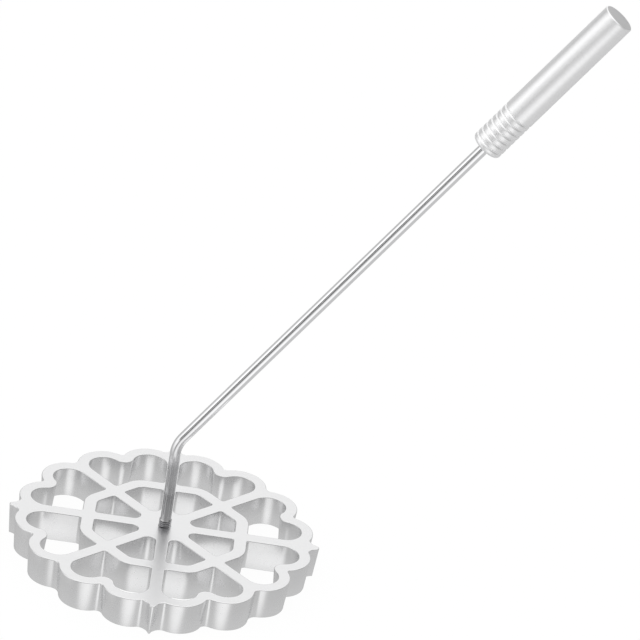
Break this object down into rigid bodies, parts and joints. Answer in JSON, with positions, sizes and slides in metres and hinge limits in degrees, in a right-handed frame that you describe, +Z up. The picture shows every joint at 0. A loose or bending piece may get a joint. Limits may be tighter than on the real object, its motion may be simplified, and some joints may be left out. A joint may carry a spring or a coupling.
{
  "type": "rosette iron",
  "caption": "Open-work flower-shaped casting with scalloped rim, spokes and inner ring, screwed onto a bent rod with a short grooved cylindrical handle.",
  "frame": {"origin": "centre of the mould's underside, on the surface that it stands on", "axes": "+Z up through the hub along the rod's vertical end, +X along the spoke over which the rod leans, +Y along the spoke to its left"},
  "size_m": [0.1675, 0.1, 0.21],
  "materials": {
    "cast_aluminium": "fine cast walls with a linished flat top",
    "bright_steel": "bright plated steel wire",
    "satin_aluminium": "satin turned"
  },
  "bodies": {
    "mould": {"rosette_mould": "cast_aluminium"},
    "grip": {"bent_rod": "bright_steel", "turned_handle": "satin_aluminium"}
  },
  "joints": [
    {"name": "grip_release", "type": "slide", "parent": "mould", "child": "grip", "axis": [0, 0, 1], "range_m": [0, 0.012]}
  ]
}
